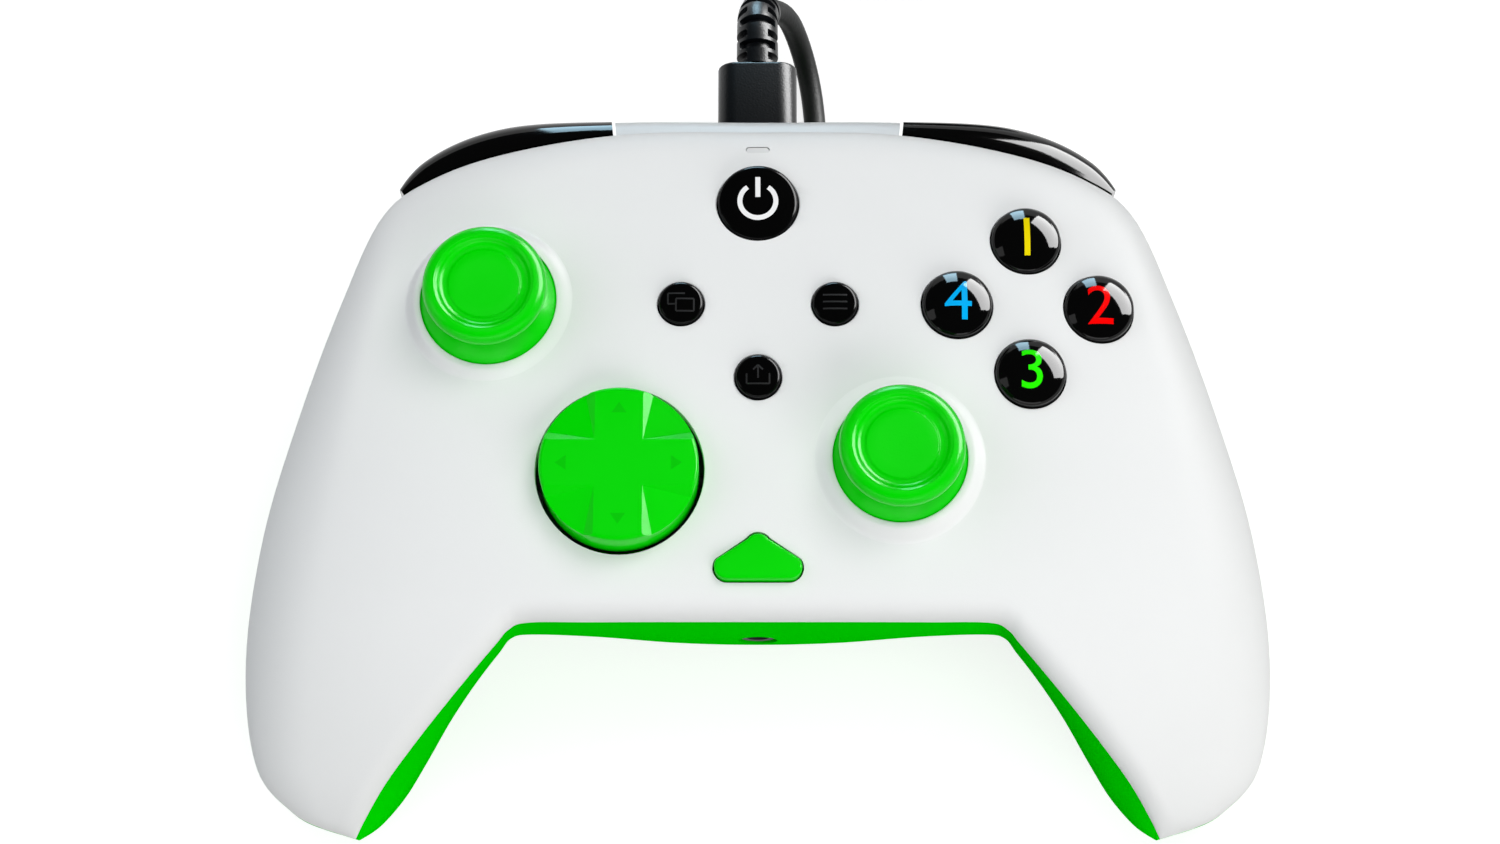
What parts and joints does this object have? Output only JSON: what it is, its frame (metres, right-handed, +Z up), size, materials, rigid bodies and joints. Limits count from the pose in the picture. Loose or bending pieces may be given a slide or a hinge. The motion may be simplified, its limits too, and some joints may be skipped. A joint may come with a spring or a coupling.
{
  "type": "gamepad controller",
  "caption": "Two-handed gamepad with thumbsticks, direction pad, action buttons, bumpers, triggers and a coiled cable plugged in at the rear.",
  "frame": {"origin": "middle of the flat pad under the back shell that the controller rests on", "axes": "+X to the player's right, +Y away from the player towards the cable, +Z up out of the face"},
  "size_m": [0.154, 0.2192, 0.0516],
  "materials": {
    "white_shell": "fine satin",
    "green_shell": "satin",
    "grey_bridge": "satin",
    "black_gloss": "polished",
    "green_gloss": "semi-gloss",
    "green_rubber": "matt, fine grain",
    "frame_plastic": "moulded",
    "board": "lacquered",
    "steel": "plated",
    "grey_rubber": "matt",
    "brass": "plain",
    "cord_black": "matt",
    "plug_black": "fine satin",
    "clear": "frosted"
  },
  "bodies": {
    "body": {"front_shell": "white_shell", "back_shell": "green_shell", "rear_bridge": "grey_bridge", "inner_frame": "frame_plastic", "main_board": "board", "left_stick_module": "steel", "right_stick_module": "steel", "left_stick_ring": "white_shell", "right_stick_ring": "white_shell", "action_keymat": "grey_rubber", "menu_keymat": "grey_rubber", "dpad_keymat": "grey_rubber", "audio_switch": "grey_bridge", "status_light_pipe": "clear", "bumper_switches": "grey_bridge", "left_trigger_pin": "steel", "right_trigger_pin": "steel", "left_trigger_spring": "steel", "right_trigger_spring": "steel", "left_rumble_motor": "steel", "right_rumble_motor": "steel", "usb_socket": "steel", "headset_jack": "frame_plastic", "shell_screws": "steel", "board_screws": "steel", "plug": "plug_black", "plug_shell": "steel", "strain_relief": "cord_black", "cord_lead": "cord_black", "cord_coil": "cord_black", "cable_tie": "cord_black", "far_plug": "plug_black", "far_plug_shell": "steel"},
    "left_click": {"left_click_slider": "frame_plastic"},
    "left_yoke": {"left_stick_yoke": "brass"},
    "left_rocker": {"left_stick_rocker": "grey_bridge"},
    "left_stick": {"left_stick_shaft": "frame_plastic", "left_stick_cap": "green_rubber"},
    "left_bumper": {"left_bumper": "black_gloss"},
    "left_trigger": {"left_trigger": "black_gloss"},
    "left_weight": {"left_rumble_weight": "steel"},
    "right_click": {"right_click_slider": "frame_plastic"},
    "right_yoke": {"right_stick_yoke": "brass"},
    "right_rocker": {"right_stick_rocker": "grey_bridge"},
    "right_stick": {"right_stick_shaft": "frame_plastic", "right_stick_cap": "green_rubber"},
    "right_bumper": {"right_bumper": "black_gloss"},
    "right_trigger": {"right_trigger": "black_gloss"},
    "right_weight": {"right_rumble_weight": "steel"},
    "dpad_gimbal": {"dpad_gimbal": "frame_plastic"},
    "dpad": {"dpad": "green_gloss"},
    "north_button": {"north_button": "black_gloss"},
    "east_button": {"east_button": "black_gloss"},
    "south_button": {"south_button": "black_gloss"},
    "west_button": {"west_button": "black_gloss"},
    "home_button": {"home_button": "black_gloss"},
    "view_button": {"view_button": "black_gloss"},
    "menu_button": {"menu_button": "black_gloss"},
    "share_button": {"share_button": "black_gloss"},
    "audio_button": {"audio_button": "green_gloss"}
  },
  "joints": [
    {"name": "left_stick_click", "type": "slide", "parent": "body", "child": "left_click", "axis": [0, 0, -1], "range_m": [0, 0.0005], "stiffness_N_per_m": 2400, "springref_m": -0.0012},
    {"name": "left_stick_pitch", "type": "hinge", "parent": "left_click", "child": "left_yoke", "pos_m": [-0.04, 0.0146, 0.0365], "axis": [1, 0, 0], "range_deg": [-14, 14], "stiffness_Nm_per_rad": 0.06},
    {"name": "left_stick_roll", "type": "hinge", "parent": "left_yoke", "child": "left_stick", "pos_m": [-0.04, 0.0146, 0.0365], "axis": [0, 1, 0], "range_deg": [-14, 14], "stiffness_Nm_per_rad": 0.06},
    {"name": "left_rocker_roll", "type": "hinge", "parent": "body", "child": "left_rocker", "pos_m": [-0.04, 0.0146, 0.0365], "axis": [0, 1, 0], "range_deg": [-14, 14]},
    {"name": "left_bumper_press", "type": "hinge", "parent": "body", "child": "left_bumper", "pos_m": [-0.0232, 0.04, 0.033], "axis": [0, -1, 0], "range_deg": [0, 2], "stiffness_Nm_per_rad": 0.6, "springref_deg": -1.72},
    {"name": "left_trigger_pull", "type": "hinge", "parent": "body", "child": "left_trigger", "pos_m": [-0.0354, 0.0365, 0.0295], "axis": [-1, 0, 0], "range_deg": [0, 16], "stiffness_Nm_per_rad": 0.1, "springref_deg": -14.32},
    {"name": "left_weight_spin", "type": "hinge", "parent": "body", "child": "left_weight", "pos_m": [-0.066, -0.03, 0.0155], "axis": [1, 0, 0], "continuous": true},
    {"name": "right_stick_click", "type": "slide", "parent": "body", "child": "right_click", "axis": [0, 0, -1], "range_m": [0, 0.0005], "stiffness_N_per_m": 2400, "springref_m": -0.0012},
    {"name": "right_stick_pitch", "type": "hinge", "parent": "right_click", "child": "right_yoke", "pos_m": [0.0207, -0.0099, 0.0365], "axis": [1, 0, 0], "range_deg": [-14, 14], "stiffness_Nm_per_rad": 0.06},
    {"name": "right_stick_roll", "type": "hinge", "parent": "right_yoke", "child": "right_stick", "pos_m": [0.0207, -0.0099, 0.0365], "axis": [0, 1, 0], "range_deg": [-14, 14], "stiffness_Nm_per_rad": 0.06},
    {"name": "right_rocker_roll", "type": "hinge", "parent": "body", "child": "right_rocker", "pos_m": [0.0207, -0.0099, 0.0365], "axis": [0, 1, 0], "range_deg": [-14, 14]},
    {"name": "right_bumper_press", "type": "hinge", "parent": "body", "child": "right_bumper", "pos_m": [0.0232, 0.04, 0.033], "axis": [0, 1, 0], "range_deg": [0, 2], "stiffness_Nm_per_rad": 0.6, "springref_deg": -1.72},
    {"name": "right_trigger_pull", "type": "hinge", "parent": "body", "child": "right_trigger", "pos_m": [0.0354, 0.0365, 0.0295], "axis": [-1, 0, 0], "range_deg": [0, 16], "stiffness_Nm_per_rad": 0.1, "springref_deg": -14.32},
    {"name": "right_weight_spin", "type": "hinge", "parent": "body", "child": "right_weight", "pos_m": [0.066, -0.03, 0.0155], "axis": [1, 0, 0], "continuous": true},
    {"name": "dpad_pitch", "type": "hinge", "parent": "body", "child": "dpad_gimbal", "pos_m": [-0.0202, -0.0116, 0.0375], "axis": [1, 0, 0], "range_deg": [-4, 4], "stiffness_Nm_per_rad": 0.3},
    {"name": "dpad_roll", "type": "hinge", "parent": "dpad_gimbal", "child": "dpad", "pos_m": [-0.0202, -0.0116, 0.0375], "axis": [0, 1, 0], "range_deg": [-4, 4], "stiffness_Nm_per_rad": 0.3},
    {"name": "north_press", "type": "slide", "parent": "body", "child": "north_button", "axis": [0, 0, -1], "range_m": [0, 0.0013], "stiffness_N_per_m": 400, "springref_m": -0.001},
    {"name": "east_press", "type": "slide", "parent": "body", "child": "east_button", "axis": [0, 0, -1], "range_m": [0, 0.0013], "stiffness_N_per_m": 400, "springref_m": -0.001},
    {"name": "south_press", "type": "slide", "parent": "body", "child": "south_button", "axis": [0, 0, -1], "range_m": [0, 0.0013], "stiffness_N_per_m": 400, "springref_m": -0.001},
    {"name": "west_press", "type": "slide", "parent": "body", "child": "west_button", "axis": [0, 0, -1], "range_m": [0, 0.0013], "stiffness_N_per_m": 400, "springref_m": -0.001},
    {"name": "home_press", "type": "slide", "parent": "body", "child": "home_button", "axis": [0, 0, -1], "range_m": [0, 0.0008], "stiffness_N_per_m": 500, "springref_m": -0.0008},
    {"name": "view_press", "type": "slide", "parent": "body", "child": "view_button", "axis": [0, 0, -1], "range_m": [0, 0.0008], "stiffness_N_per_m": 500, "springref_m": -0.0008},
    {"name": "menu_press", "type": "slide", "parent": "body", "child": "menu_button", "axis": [0, 0, -1], "range_m": [0, 0.0008], "stiffness_N_per_m": 500, "springref_m": -0.0008},
    {"name": "share_press", "type": "slide", "parent": "body", "child": "share_button", "axis": [0, 0, -1], "range_m": [0, 0.0008], "stiffness_N_per_m": 500, "springref_m": -0.0008},
    {"name": "audio_press", "type": "slide", "parent": "body", "child": "audio_button", "axis": [0, 0, -1], "range_m": [0, 0.0008], "stiffness_N_per_m": 500, "springref_m": -0.0008}
  ],
  "couplings": [
    {"joint": "left_rocker_roll", "follows": "left_stick_roll", "ratio": 1},
    {"joint": "right_rocker_roll", "follows": "right_stick_roll", "ratio": 1}
  ]
}
